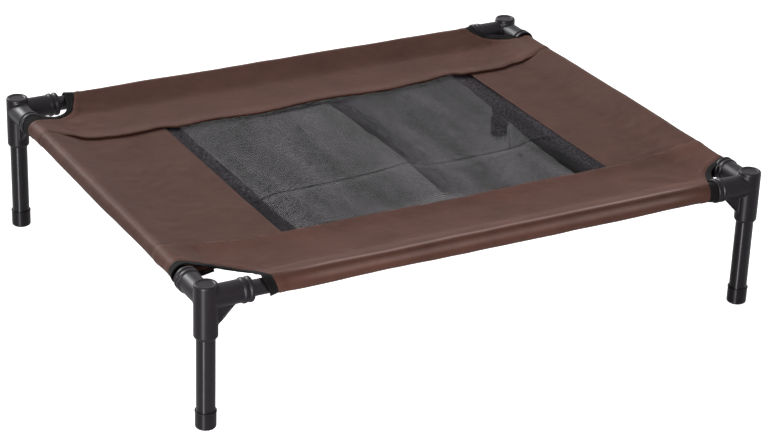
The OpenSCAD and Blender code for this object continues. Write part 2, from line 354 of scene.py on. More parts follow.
def ribbed_tape(name, colour):
    """Soft knitted tape with cross ribs and a little fuzz."""
    material, tree = start_material(name)
    where = add(tree, "ShaderNodeUVMap", {"uv_map": "Pattern"}).outputs["UV"]
    fuzz = mottle(tree, where, TAPE_FUZZ, 3.0)
    relief = math_node(tree, "ADD", threads(tree, where, "X", TAPE_RIB), fuzz)
    return surfaced(
        material, Base_Color=shaded(tree, where, colour, 0.3, TAPE_BLOTCHES),
        Roughness=between(tree, fuzz, 0.7, 0.95), Normal=bumped(tree, 0.5, TAPE_DEPTH, relief),
        Sheen_Weight=0.02, Sheen_Roughness=0.5, Specular_IOR_Level=0.08,
    )


UPRIGHT = (0.01, 0.0, 1.0)  # a tube's direction, tilted a hair so that a level face has a tangent too
LEVEL_OFF = 2.5  # the stretch of a shine is gone where a face tilts by the inverse of this


def drawn_shine(tree, share):
    """Inputs of a surface whose shine is stretched along an upright tube."""
    facing = add(tree, "ShaderNodeTexCoord").outputs["Normal"]
    around = math_node(tree, "CROSS_PRODUCT", UPRIGHT, facing, "ShaderNodeVectorMath")
    tilt = math_node(tree, "ABSOLUTE", add(tree, "ShaderNodeSeparateXYZ", Vector=facing).outputs["Z"])
    upright = math_node(tree, "SUBTRACT", 1.0, math_node(tree, "MULTIPLY", tilt, LEVEL_OFF))
    stretch = math_node(tree, "MULTIPLY", math_node(tree, "MAXIMUM", upright, 0.0), share)
    return {"Tangent": around, "Anisotropic": stretch, "Anisotropic_Rotation": 0.25}


GLOSS_CLOUDS, COLOUR_CLOUDS = 24.0, 30.0  # features to the metre


def grained(name, colour, grain, depth, rough, spread, gloss, drawn=0.0):
    """A moulded or coated finish: fine grain, cloudy gloss, and a shine stretched along an upright tube."""
    material, tree = start_material(name)
    where = add(tree, "ShaderNodeTexCoord").outputs["Object"]
    pits = mottle(tree, where, grain, 3.0, Roughness=0.6)
    cloud = mottle(tree, where, GLOSS_CLOUDS, 4.0, Roughness=0.55)
    return surfaced(
        material, Normal=bumped(tree, 0.3, depth, pits), Specular_IOR_Level=gloss,
        Base_Color=shaded(tree, where, colour, spread, COLOUR_CLOUDS),
        Roughness=between(tree, cloud, rough - 0.08, rough + 0.1),
        **(drawn_shine(tree, drawn) if drawn else {}),
    )


def sewing_thread(name, colour):
    """Fine matt thread."""
    return grained(name, colour, grain=2000.0, depth=0.0001, rough=0.6, spread=0.15, gloss=0.15)


SHADE_BANDS = (24.0, 3.5, 0.0)  # painted shade and light in bands, to the metre along x and y
SPECKS = 300.0  # features to the metre
UNEVEN = (-1.4, 3.4)  # tones that the ends of the noise stand for


def coated_strands(name, colour):
    """Coated mesh: strands of uneven tone, with painted shade and light in soft bands that run along y."""
    material, tree = start_material(name)
    where = add(tree, "ShaderNodeTexCoord").outputs["Object"]
    drawn_out = math_node(tree, "MULTIPLY", where, SHADE_BANDS, "ShaderNodeVectorMath")
    # Painted shade and light in soft bands
    shade_band = mottle(tree, drawn_out, 1.0, 2.0)
    speck = mottle(tree, where, SPECKS, 2.0)
    tone = math_node(tree, "MULTIPLY", between(tree, shade_band, *UNEVEN), between(tree, speck, *UNEVEN))
    shade = add(tree, "ShaderNodeHueSaturation", Value=tone, Color=(*colour, 1.0))
    return surfaced(
        material, Base_Color=shade.outputs["Color"], Roughness=between(tree, speck, 0.45, 0.65),
        Specular_IOR_Level=0.04,
    )


def dressed(name, bm, *materials):
    """A new piece at the origin, with its place in its mesh, smooth shading and its materials."""
    mesh = bpy.data.meshes.new(name)
    bm.to_mesh(mesh)
    bm.free()
    for material in materials:
        mesh.materials.append(material)
    mesh.shade_smooth()
    piece = bpy.data.objects.new(name, mesh)
    bpy.context.scene.collection.objects.link(piece)
    return piece


def ease_between(value, low, high):
    """0 below low, 1 above high, and a smooth rise between them."""
    t = min(1.0, max(0.0, (value - low) / (high - low)))
    return t * t * (3 - 2 * t)


def hump(value, centre, width):
    """A smooth bump of height 1."""
    return math.exp(-(((value - centre) / width) ** 2))


def along_points(points, at):
    """The value at a place along given (place, value) points, with a smooth run between them."""
    if at <= points[0][0]:
        return points[0][1]
    for (start, first), (end, second) in zip(points, points[1:]):
        if at <= end:
            return first + (second - first) * ease_between(at, start, end)
    return points[-1][1]


# Where the long borders' inner edges wander from the straight line, as (x, distance outwards)
EDGE_WANDER = {
    "front": (
        (-0.366, -0.006), (-0.340, -0.014), (-0.303, -0.005), (-0.270, 0.000), (-0.200, 0.002),
        (0.0, 0.003), (0.250, 0.002), (0.330, -0.004),
    ),
    "back": (
        (-0.366, 0.014), (-0.340, 0.014), (-0.301, 0.000), (-0.263, -0.003), (-0.219, 0.003),
        (-0.194, -0.004), (-0.151, 0.001), (-0.085, -0.004), (0.009, 0.004), (0.104, -0.001),
        (0.165, 0.004), (0.211, 0.010), (0.229, 0.003), (0.280, 0.001), (0.315, 0.010), (0.350, 0.013),
    ),
}

# Folds that run along the sleeves, as (share of the height, angle round the rail, spread), and the heights
LONG_FOLDS = ((0.4, 1.60, 0.24), (-1.0, 1.06, 0.24), (1.0, 0.50, 0.28))
SHORT_FOLDS = ((1.0, 1.05, 0.36),)
FOLD_HEIGHT = {"front": 0.0014, "back": 0.0004, "left": 0.0007, "right": 0.0007}
# Painted highlights and painted shade along the sleeves, lighter on crests and bulges and darker in creases,
# in the same way, and how strong they are on each side
LONG_LIGHT_PAINT = ((-0.15, 2.7, 0.70), (2.4, 1.60, 0.18), (-0.1, 1.06, 0.24), (1.0, 0.52, 0.28))
SHORT_LIGHT_PAINT = ((1.0, 1.30, 0.36),)
LIGHT_PAINT_SIZE = {"front": 0.9, "back": 0.2, "left": 0.65, "right": 0.3}
# The sleeves' mouths along x and along y, and the length over which folds and painted light fade there
LONG_SLEEVE, SHORT_SLEEVE = (-0.281, 0.301), (-0.222, 0.226)
MOUTH_FADE = 0.07
# How uneven they are along a sleeve: the mean, the swing, and the swings to the metre
LINE_MEAN, LINE_SWING, LINE_SWINGS = 0.8, 0.4, 6


class RailWrap:
    """The way the cloth leaves the deck at the seam, passes round a rail and comes back below."""

    def __init__(self, cover):
        self.seam = cover.seam
        self.bend = cover.seam_bend
        self.under = cover.under
        self.drop = RAIL_Z - DECK_Z
        self.radius = RAIL_RADIUS + cover.ease + cover.thickness / 2
        reach = math.hypot(self.seam, self.drop)
        spread = math.acos(self.radius / reach)
        self.slope = math.sqrt(reach**2 - self.radius**2)
        self.first = math.pi + math.atan2(self.drop, self.seam) - spread
        self.sweep = math.tau - 2 * spread
        self.arc = self.radius * self.sweep
        self.back_at_seam = 2 * self.slope + self.arc

    def turn(self, distance):
        """The angle round the rail at a flat distance past the seam."""
        return self.first - (distance - self.slope) / self.radius

    def at(self, distance):
        """Run past the seam, rise over the deck, and the normal's run and rise, at a flat distance."""
        lean = self.first - math.pi / 2
        if distance <= -self.bend:
            return distance, 0.0, 0.0, 1.0
        if distance < self.bend:
            bent = (distance + self.bend) / (2 * self.bend)
            risen = bent**2 * self.bend
            tilt = lean * bent
            run, rise = distance - risen * (1 - math.cos(lean)), risen * math.sin(lean)
            return run, rise, -math.sin(tilt), math.cos(tilt)
        if distance < self.slope:
            return distance * math.cos(lean), distance * math.sin(lean), -math.sin(lean), math.cos(lean)
        if distance < self.slope + self.arc:
            out, up = math.cos(self.turn(distance)), math.sin(self.turn(distance))
            return self.seam + self.radius * out, self.drop + self.radius * up, out, up
        last = self.first - self.sweep
        out, up = math.cos(last), math.sin(last)
        back = min(distance, self.back_at_seam) - self.slope - self.arc
        run = self.seam + self.radius * out + back * up
        rise = self.drop + self.radius * up - back * out - self.under * back / self.slope
        if distance > self.back_at_seam:
            return run - (distance - self.back_at_seam), -self.under, 0.0, -1.0
        return run, rise, out, up


def deck_sag(x, y, cover):
    """How far the stretched deck hangs at a place."""
    share_x = max(0.0, 1 - (x / (LEG_X - cover.seam)) ** 2)
    share_y = max(0.0, 1 - (y / (LEG_Y - cover.seam)) ** 2)
    return -cover.sag * share_x * share_y


# Broad waves of the cloth, as (height, waves to the metre, layer of the noise)
BROAD_WAVES = ((0.0010, 9, 0.3), (0.0004, 31, 1.7))
# Puckers along the seams: height, reach, and puckers to the metre along a seam and across it
PUCKER_HEIGHT, PUCKER_REACH = 0.0007, 0.014
PUCKERS_ALONG, PUCKERS_ACROSS = 80, 12


def wrinkle(u, v, cover):
    """Small unevenness of the cloth: broad waves on the deck and puckers along the sleeves' seams."""
    broad = sum(height * noise.noise((waves * u, waves * v, layer)) for height, waves, layer in BROAD_WAVES)
    past_x = abs(u) - (LEG_X - cover.seam)
    past_y = abs(v) - (LEG_Y - cover.seam)
    on_long = noise.noise((PUCKERS_ALONG * u, PUCKERS_ACROSS * v, 4.1))
    on_short = noise.noise((PUCKERS_ACROSS * u, PUCKERS_ALONG * v, 7.9))
    pucker = PUCKER_HEIGHT * on_long * hump(past_y, 0, PUCKER_REACH)
    pucker += PUCKER_HEIGHT * on_short * hump(past_x, 0, PUCKER_REACH)
    return broad + pucker + corner_folds(u, v)


# Folds that fan out from the cut-outs: height, the distances from the leg where they rise and fade, and how
# close they stand round the leg and away from it
FAN_HEIGHT, FAN_RISE, FAN_FADE = 0.0009, (0.045, 0.09), (0.10, 0.21)
FAN_ROUND, FAN_AWAY = 7, 9


def corner_folds(u, v):
    """Folds that fan out from a corner's cut-out over the deck and the sleeves beside it."""
    along, across = LEG_X - abs(u), LEG_Y - abs(v)
    reach = math.hypot(along, across)
    share = ease_between(reach, *FAN_RISE) * (1 - ease_between(reach, *FAN_FADE))
    if share == 0:
        return 0.0
    which = math.copysign(3.7, u) + math.copysign(1.3, v)  # a layer of the noise for each corner
    return FAN_HEIGHT * share * noise.noise((FAN_ROUND * math.atan2(across, along), FAN_AWAY * reach, which))


def along_sleeve(turn, place, ends, lines):
    """The sum of lines that run along a sleeve and fade towards its ends."""
    fade = ease_between(place, ends[0], ends[0] + MOUTH_FADE)
    fade *= ease_between(-place, -ends[1], MOUTH_FADE - ends[1])
    shape = sum(height * hump(turn, centre, spread) for height, centre, spread in lines)
    return fade * shape * (LINE_MEAN + LINE_SWING * noise.noise((LINE_SWINGS * place, 0.5, 2.2)))


def corner_of(u, v):
    """The corner whose quarter of the pattern a point lies in."""
    return ("front" if v < 0 else "back") + ("_left" if u < 0 else "_right")


class CoverSurface:
    """Lays the cover's flat pattern over the deck and round the rails."""

    def __init__(self, cover):
        self.cover = cover
        self.wrap = RailWrap(cover)
        self.deck_x = LEG_X - cover.seam
        self.deck_y = LEG_Y - cover.seam

    def drawn_back(self, u, v, past):
        """How far the end of a long sleeve is drawn back along its rail, past the rail's crest."""
        outer = past - self.wrap.slope - self.wrap.arc / 4
        if outer <= 0:
            return 0.0
        corner = corner_of(u, v)
        share = 1 - ease_between(LEG_X - abs(u), NOTCH_BENDS[corner][0][0], SLANT_REACH)
        return math.copysign(MOUTH_SLANT[corner] * outer * share, u)

    def on_sleeves(self, u, v, sizes, long_lines, short_lines):
        """The sum of the lines along the sleeves at a point of the pattern, each side's by its own size."""
        past_x, past_y = abs(u) - self.deck_x, abs(v) - self.deck_y
        total = 0.0
        if past_y > self.wrap.slope / 2:
            size = sizes["front" if v < 0 else "back"]
            total += size * along_sleeve(self.wrap.turn(past_y), u, LONG_SLEEVE, long_lines)
        if past_x > self.wrap.slope / 2:
            size = sizes["left" if u < 0 else "right"]
            total += size * along_sleeve(self.wrap.turn(past_x), v, SHORT_SLEEVE, short_lines)
        return total

    def point(self, u, v, lift=0.0):
        """The place of a point of the pattern, raised along the surface's normal."""
        past_x, past_y = abs(u) - self.deck_x, abs(v) - self.deck_y
        run_x, rise_x, out_x, up_x = self.wrap.at(past_x)
        run_y, rise_y, out_y, up_y = self.wrap.at(past_y)
        x = math.copysign(self.deck_x + run_x, u) - self.drawn_back(u, v, past_y)
        y = math.copysign(self.deck_y + run_y, v)
        lift += wrinkle(u, v, self.cover) + self.on_sleeves(u, v, FOLD_HEIGHT, LONG_FOLDS, SHORT_FOLDS)
        normal = Vector((out_x * math.copysign(1, u), out_y * math.copysign(1, v), up_x * up_y))
        height = DECK_Z + rise_x + rise_y + deck_sag(x, y, self.cover)
        return Vector((x, y, height)) + normal.normalized() * lift


def folded(distance, fold):
    """How far inside the edge a turned edge's point lies, and how far below the top layer."""
    if distance >= 0:
        return distance, 0.0
    turned = -distance / fold
    if turned < math.pi:
        return -fold * math.sin(turned), fold * (1 - math.cos(turned))
    return -distance - math.pi * fold, 2 * fold


def ruled(*spans):
    """Places of grid lines: each span is (start, end, step)."""
    places = [spans[0][0]]
    for start, end, step in spans:
        count = max(1, round(abs(end - start) / step))
        places += [start + (end - start) * k / count for k in range(1, count + 1)]
    return places


def ruled_grid(columns, rows):
    """A flat grid with its lines at the given places."""
    bm = bmesh.new()
    bmesh.ops.create_grid(bm, x_segments=len(columns) - 1, y_segments=len(rows) - 1, size=1)
    for vert in bm.verts:
        column = round((vert.co.x + 1) / 2 * (len(columns) - 1))
        row = round((vert.co.y + 1) / 2 * (len(rows) - 1))
        vert.co = (columns[column], rows[row], 0)
    return bm


def notch_outline(corner, cover, inset, arc_steps=5):
    """A cut-out's outline as (along, across) points from the leg's axis, moved inset towards the leg."""
    far = 0.15  # past the pattern's edges
    bends = [Vector(bend) for bend in NOTCH_BENDS[corner]]
    start, end = Vector((bends[0].x, -far)), Vector((-far, bends[-1].y))
    ways = [(after - before).normalized() for before, after in zip([start, *bends], [*bends, end])]
    normals = [Vector((way.y, -way.x)) for way in ways]
    points = [start - normals[0] * inset]
    for bend, before, after in zip(bends, normals, normals[1:]):
        between_walls = (before + after).normalized()
        centre = bend - between_walls * cover.notch_radius / between_walls.dot(before)
        first, last = math.atan2(before.y, before.x), math.atan2(after.y, after.x)
        for k in range(arc_steps + 1):
            turn = first + (last - first) * k / arc_steps
            points.append(centre + (cover.notch_radius - inset) * Vector((math.cos(turn), math.sin(turn))))
    return points + [end - normals[-1] * inset]


def cut_notch(bm, corner, cover, inset):
    """Cuts a corner's notch out of a flat pattern."""
    side_x, side_y = CORNERS[corner]

    def local(point):
        return LEG_X - side_x * point.x, LEG_Y - side_y * point.y

    def in_corner(face):
        along, across = local(face.calc_center_median())
        return along < CORNER_LONG and across < CORNER_SHORT

    outline = notch_outline(corner, cover, inset)
    walls = []
    for (u0, v0), (u1, v1) in zip(outline, outline[1:]):
        wall = Vector((v1 - v0, u0 - u1)).normalized()
        walls.append((u0, v0, wall))
        faces = [f for f in bm.faces if in_corner(f)]
        geom = faces + list({e for f in faces for e in f.edges}) + list({v for f in faces for v in f.verts})
        bmesh.ops.bisect_plane(
            bm, geom=geom, dist=MERGE,
            plane_co=(side_x * (LEG_X - u0), side_y * (LEG_Y - v0), 0),
            plane_no=(-side_x * wall.x, -side_y * wall.y, 0),
        )

    def in_notch(face):
        along, across = local(face.calc_center_median())
        return all((along - u) * w.x + (across - v) * w.y < 0 for u, v, w in walls)

    bmesh.ops.delete(bm, geom=[f for f in bm.faces if in_notch(f)], context="FACES")


# The hem beside a cut-out: where it rises and falls inside the edge, and its height in thicknesses
HEM_RISE, HEM_FALL, HEM_HEIGHT = (0.0005, 0.002), (0.007, 0.0085), 0.6


def hem_lift(u, v, cover):
    """How far the hem beside a cut-out stands out."""
    along, across = LEG_X - abs(u), LEG_Y - abs(v)
    if along > CORNER_LONG or across > CORNER_SHORT:
        return 0.0
    outline = notch_outline(corner_of(u, v), cover, 0.0)
    inside = -1.0
    for start, end in zip(outline, outline[1:]):
        way = (end - start).normalized()
        inside = max(inside, (along - start.x) * way.y - (across - start.y) * way.x)
    hemmed = ease_between(inside, *HEM_RISE) * (1 - ease_between(inside, *HEM_FALL))
    return HEM_HEIGHT * cover.thickness * hemmed


def keep_pattern(bm, surface):
    """Keeps the flat pattern as the cloth's UV map, in metres, with its painted highlights and painted shade,
    and returns its area.
    """
    layer = bm.loops.layers.uv.new("Pattern")
    light_paint_layer = bm.verts.layers.float.new("light_paint")
    # Painted highlights and painted shade along the sleeves
    for vert in bm.verts:
        vert[light_paint_layer] = 1 + surface.on_sleeves(vert.co.x, vert.co.y, LIGHT_PAINT_SIZE, LONG_LIGHT_PAINT, SHORT_LIGHT_PAINT)
    for face in bm.faces:
        for loop in face.loops:
            loop[layer].uv = loop.vert.co.xy
    return sum(face.calc_area() for face in bm.faces)


def thicken(piece, thickness):
    """Gives a sheet its thickness."""
    solid = piece.modifiers.new("Thickness", "SOLIDIFY")
    solid.thickness = thickness
    solid.offset = 0
    return piece


CUT_INSET = 0.004  # the cloth's own cut edge lies inside the binding
FOLD_SHADOW = 0.45  # painted shadow: the turned edges are drawn darker, standing in for the shade of the gap under them
# Steps of the patterns' grids: along a strip and over its deck, beside its edge, up to a rail, and below it
GRID_STEP, EDGE_STEP, SLOPE_STEP, BELOW_STEP = 0.005, 0.003, 0.0045, 0.006
EDGE_ZONE = 0.012  # width of the finer grid beside an edge
FACE_SHARE = 0.6  # share of the way round a rail that shows
FACE_STEPS, BACK_STEPS = 50, 24  # steps to a whole round, on the side that shows and on the other
WANDER_REACH = 0.05  # how far inside an edge its wander is felt


def wrap_spans(wrap, hem):
    """Grid spans from the seam out over a rail and back below, measured from the seam."""
    over, face_end, round_end = wrap.slope, wrap.slope + FACE_SHARE * wrap.arc, wrap.slope + wrap.arc
    return (
        (0, over, SLOPE_STEP),
        (over, face_end, wrap.arc / FACE_STEPS),
        (face_end, round_end, wrap.arc / BACK_STEPS),
        (round_end, wrap.back_at_seam, BELOW_STEP),
        (wrap.back_at_seam, wrap.back_at_seam + hem, BELOW_STEP),
    )


def moved(spans, by):
    """The same spans, further along."""
    return [(by + start, by + end, step) for start, end, step in spans]


def strip_rows(cover, deck, outward):
    """Grid lines across a strip, from its turned edge over the deck and outward, measured from the edge."""
    bend = math.pi * cover.fold
    turned = ((-bend - cover.turned, -bend, GRID_STEP), (-bend, 0, bend / 4))
    return ruled(*turned, (0, EDGE_ZONE, EDGE_STEP), (EDGE_ZONE, deck, GRID_STEP), *moved(outward, deck))


# A long border's edge: the gap that it leaves over the short border, and how far inside that is felt
LAP_GAP, LAP_REACH = 0.0006, 0.016
# Over a short rail: how far it bulges and is pulled in, in thicknesses of the cloth, with place and reach
BULGE, BULGE_AT, BULGE_REACH = 0.7, 0.010, 0.010
PULL, PULL_REACH = 1.4, 0.004
PRESSED = 0.6  # and the share of its turned edge's depth that is pressed out


def lap_lift(surface, u, inside, below=0.0):
    """How far a long border lies over the short one, at a distance inside its edge and below its top layer.

    On the deck its turned edge is raised. Over a short rail it is drawn tight and its edge is tucked in.
    """
    cover = surface.cover
    tight = ease_between(abs(u) - surface.deck_x, 0.0, surface.wrap.slope)
    inside = max(0.0, inside)
    raised = (cover.thickness + 2 * cover.fold + LAP_GAP) * hump(inside, 0, LAP_REACH)
    bulge = BULGE * cover.thickness * hump(inside, BULGE_AT, BULGE_REACH)
    tucked = bulge - PULL * cover.thickness * hump(inside, 0, PULL_REACH)
    return raised * (1 - tight) + tucked * tight - below * (1 - PRESSED * tight)


def long_border(surface, side):
    """A front or back border: a full-length strip with notched corners, folded round three rails."""
    cover, wrap, sign = surface.cover, surface.wrap, LONG_SIDES[side]
    edge = WINDOW[side]
    outward = wrap_spans(wrap, cover.hem)
    ends = moved(outward, surface.deck_x)
    left_ends = [(-end, -start, step) for start, end, step in reversed(ends)]
    columns = ruled(*left_ends, (-surface.deck_x, surface.deck_x, GRID_STEP), *ends)
    rows = strip_rows(cover, surface.deck_y - edge, outward)

    def wander(u):
        return along_points(EDGE_WANDER[side], u)

    bm = ruled_grid(columns, rows)
    for vert in bm.verts:
        share = 1 - ease_between(vert.co.y, 0.0, WANDER_REACH)
        vert.co.y = sign * (edge + vert.co.y + wander(vert.co.x) * share)
    for corner, (_, side_y) in CORNERS.items():
        if side_y == sign:
            cut_notch(bm, corner, cover, CUT_INSET)
    area = keep_pattern(bm, surface)
    light_paint_layer = bm.verts.layers.float["light_paint"]
    for vert in bm.verts:
        u, v, _ = vert.co
        limit = edge + wander(u)
        inside, below = folded(abs(v) - limit, cover.fold)
        # Painted shadow along the turned edge
        if below > 0:
            vert[light_paint_layer] = FOLD_SHADOW
        lift = lap_lift(surface, u, inside, below) + hem_lift(u, v, cover)
        vert.co = surface.point(u, sign * (limit + inside), lift)
    bmesh.ops.recalc_face_normals(bm, faces=bm.faces)
    return bm, (columns[-1] - columns[0], rows[-1] - rows[0]), area


# How far from the middle the lower layers of the short borders end under the mesh, as (y, distance)
FACING = {"left": ((-1.0, 0.192), (1.0, 0.192)), "right": ((-0.17, 0.196), (0.17, 0.216))}
TUCK = 0.024  # cloth of the short borders under the long ones
SINK_REACH = 0.010  # length over which they pass under


def short_border(surface, side):
    """A left or right border: the strip between the long ones, with its lower layer facing the mesh."""
    cover, wrap, sign = surface.cover, surface.wrap, SHORT_SIDES[side]
    edge = WINDOW[side]
    facing_span = surface.deck_x - FACING[side][0][1]
    rows = strip_rows(cover, surface.deck_x - edge, wrap_spans(wrap, facing_span))
    columns = ruled((-WINDOW["front"] - TUCK, WINDOW["back"] + TUCK, GRID_STEP))
    bm = ruled_grid(columns, rows)
    for vert in bm.verts:
        vert.co = (sign * (edge + vert.co.y), vert.co.x, 0)
    area = keep_pattern(bm, surface)
    seam_back = surface.deck_x + wrap.back_at_seam
    for vert in bm.verts:
        u, v, _ = vert.co
        inside, below = folded(abs(u) - edge, cover.fold)
        at = edge + inside
        if at > seam_back:
            at = seam_back + (at - seam_back) * (surface.deck_x - along_points(FACING[side], v)) / facing_span
        over = "front" if v < 0 else "back"
        tucked = abs(v) - WINDOW[over] - along_points(EDGE_WANDER[over], u)
        sunk = cover.thickness * ease_between(tucked, 0.0, SINK_REACH)
        vert.co = surface.point(sign * at, v, -below - sunk)
    bmesh.ops.recalc_face_normals(bm, faces=bm.faces)
    return bm, (columns[-1] - columns[0], rows[-1] - rows[0]), area


def tape_route(corner, cover, inset, step):
    """Evenly set (along, across) points of a cut-out's edge, each with its direction into the cloth."""
    outline = notch_outline(corner, cover, inset, arc_steps=8)
    route = []
    for start, end in zip(outline, outline[1:]):
        way = end - start
        count = max(1, round(way.length / step))
        for k in range(count):
            route.append(start + way * k / count)
    route.append(outline[-1])
    normals = []
    for before, after in zip([route[0]] + route[:-1], route[1:] + [route[-1]]):
        way = (after - before).normalized()
        normals.append(Vector((way.y, -way.x)))
    return list(zip(route, normals))


TAPE_STEP, TAPE_FACES = 0.0022, 14  # the tape's grid, along it and round it
TAPE_UNEVEN, TAPE_RUFFLE = 0.0008, 0.0003  # unevenness of the tape's width and of its faces
CUFF_AT, CUFF_REACH = -0.008, 0.028  # where the tape is widest over a rail, from the rail's axis inwards
FLARE_FROM = 0.03  # a mouth starts to flare at this distance from the rail's axis
ARM_GAP = 0.001  # over a rail the tape stays this far past the end of the connector's arm
ARM_RUN = 0.06  # and beside the rail this limit falls back by so much


def blunt(value):
    """A sine or cosine with fuller flanks, for a flattened round."""
    return math.copysign(abs(value) ** 0.7, value)


def binding(surface, corner):
    """A tape folded over a cut-out's edge, from below one rail to below the other."""
    cover = surface.cover
    side_x, side_y = CORNERS[corner]
    reach = surface.wrap.back_at_seam - cover.seam
    route = [
        (point, normal) for point, normal in tape_route(corner, cover, cover.tape_width, TAPE_STEP)
        if point.x > -reach and point.y > -reach
    ]
    bm = bmesh.new()
    bmesh.ops.create_grid(bm, x_segments=len(route) - 1, y_segments=TAPE_FACES, size=1)
    layer = bm.loops.layers.uv.new("Pattern")
    place = {}
    for vert in bm.verts:
        k = round((vert.co.x + 1) / 2 * (len(route) - 1))
        turn = (vert.co.y + 1) / 2 * math.tau
        point, normal = route[k]
        sleeve = ease_between(-min(point.x, point.y), -FLARE_FROM, 0.0)
        uneven = TAPE_UNEVEN * noise.noise((k * 0.13, 3.3 * side_x, 5.1 * side_y))
        cuff = cover.cuff * hump(min(point.x, point.y), CUFF_AT, CUFF_REACH)
        half = cover.tape_width / 2 + uneven + cuff / 2
        across = half + half * blunt(math.cos(turn))
        swell = cover.tape_swell * (1 + 0.3 * noise.noise((k * 0.21, 9.0, side_x)))
        lift = swell * blunt(math.sin(turn))
        flat = point + normal * (across - uneven - cuff)
        for axis in (0, 1):
            over_rail = 1 - ease_between(flat[1 - axis], RAIL_RADIUS, 2 * RAIL_RADIUS)
            if over_rail > 0:
                flat[axis] = max(flat[axis], ARM_REACH + ARM_GAP - ARM_RUN * (1 - over_rail))
        lift += cover.flare * sleeve * (1 - across / (2 * half)) ** 2
        ruffle = noise.noise((k * 0.4, math.cos(turn), math.sin(turn) + 7.7 * side_x + side_y))
        lift += TAPE_RUFFLE * ruffle
        vert.co = surface.point(side_x * (LEG_X - flat.x), side_y * (LEG_Y - flat.y), lift)
        place[vert] = (k * TAPE_STEP, turn * cover.tape_width / math.pi)
    for face in bm.faces:
        for loop in face.loops:
            loop[layer].uv = place[loop.vert]
    bmesh.ops.remove_doubles(bm, verts=bm.verts, dist=MERGE)
    bmesh.ops.holes_fill(bm, edges=[e for e in bm.edges if e.is_boundary], sides=0)
    bmesh.ops.recalc_face_normals(bm, faces=bm.faces)
    return bm


STITCH_FILL = 0.36  # half of a stitch, as a share of its pitch
STITCH_WIDE, STITCH_HIGH = 0.00038, 0.0003  # half sizes across
THREAD_STEP = 0.0004  # spacing of the points of a sewn route
UP_STEP = 0.001  # the point this far above the cloth shows which way is up
EDGE_ROW, TAPE_ROW = 0.004, 0.0025  # how far a row of stitches lies inside an edge, and inside a tape's
EDGE_ROW_END = 0.37  # where the rows beside the long borders' edges end
SEAM_ROW = (-0.285, 0.305)  # where the rows along the long sleeves' seams end
ROW_GAP = 0.002  # how far the short borders' rows stop before the long borders
OUTER_SIDE = -0.03  # where the rows round a cut-out end, past a rail's axis


def stitch_shape(pitch):
    """One raised stitch that runs along x."""
    bm = bmesh.new()
    size = Matrix.Diagonal((pitch * STITCH_FILL, STITCH_WIDE, STITCH_HIGH, 1))
    bmesh.ops.create_uvsphere(bm, u_segments=6, v_segments=4, radius=1, matrix=size)
    shape = bpy.data.meshes.new("stitch")
    bm.to_mesh(shape)
    bm.free()
    return shape


def repeat(bm, shape, place):
    """Adds a copy of a mesh, with each vertex put where place says."""
    before = len(bm.verts)
    bm.from_mesh(shape)
    bm.verts.ensure_lookup_table()
    for vert in bm.verts[before:]:
        vert.co = place(vert.co)


def sew(bm, shape, route, lay, pitch, lift):
    """A row of raised stitches along a route of the flat pattern."""
    spots = [lay(u, v, lift) for u, v in route]
    tops = [lay(u, v, lift + UP_STEP) for u, v in route]
    walked = 0.0
    for here, there, top in zip(spots, spots[1:], tops):
        walked += (there - here).length
        if walked < pitch:
            continue
        walked = 0.0
        way = (there - here).normalized()
        up = (top - here).normalized()
        turn = Matrix((way, up.cross(way), up)).transposed().to_4x4()
        repeat(bm, shape, lambda co, seat=Matrix.Translation(here) @ turn: seat @ co)


def straight(start, end, step=THREAD_STEP):
    """Close-set points of a straight route of the flat pattern."""
    count = max(2, round(math.dist(start, end) / step))
    return [tuple(a + (b - a) * k / count for a, b in zip(start, end)) for k in range(count + 1)]


FLOOR_REACH = 12  # from the middle of the floor to its edges
VIEW_END = 40  # the camera sees this far
AIM = (0, 0, 0.1)  # the point that the soft lights face
KEY_FROM, KEY_STRENGTH, KEY_SPREAD = (-0.26, 0.84, 0.48), 3.45, 20  # direction, strength and degrees
# Soft lights, as (place, size, watts)
SOFTBOXES = {
    "fill_light": ((-0.6, -1.6, 0.62), (0.7, 0.7), 16),
    "top_light": ((0.0, 0.0, 2.4), (1.6, 1.6), 7),
    "strip_light": ((-2.9, -2.7, 0.6), (0.20, 1.2), 320),
}


def seen_directly(tree):
    """1 for rays that the camera, a mirror or glass sends straight to a surface, otherwise 0."""
    path = add(tree, "ShaderNodeLightPath").outputs
    seen = math_node(tree, "MAXIMUM", path["Is Camera Ray"], path["Is Glossy Ray"])
    return math_node(tree, "MAXIMUM", seen, path["Is Transmission Ray"])


def softbox(name, place, size, watts):
    """A soft light that faces the cot."""
    light = bpy.data.lights.new(name, "AREA")
    light.shape = "RECTANGLE"
    light.size, light.size_y = size
    light.energy = watts
    lamp = bpy.data.objects.new(name, light)
    lamp.location = place
    lamp.rotation_euler = (Vector(AIM) - lamp.location).to_track_quat("-Z", "Y").to_euler()
    bpy.context.scene.collection.objects.link(lamp)
    return lamp


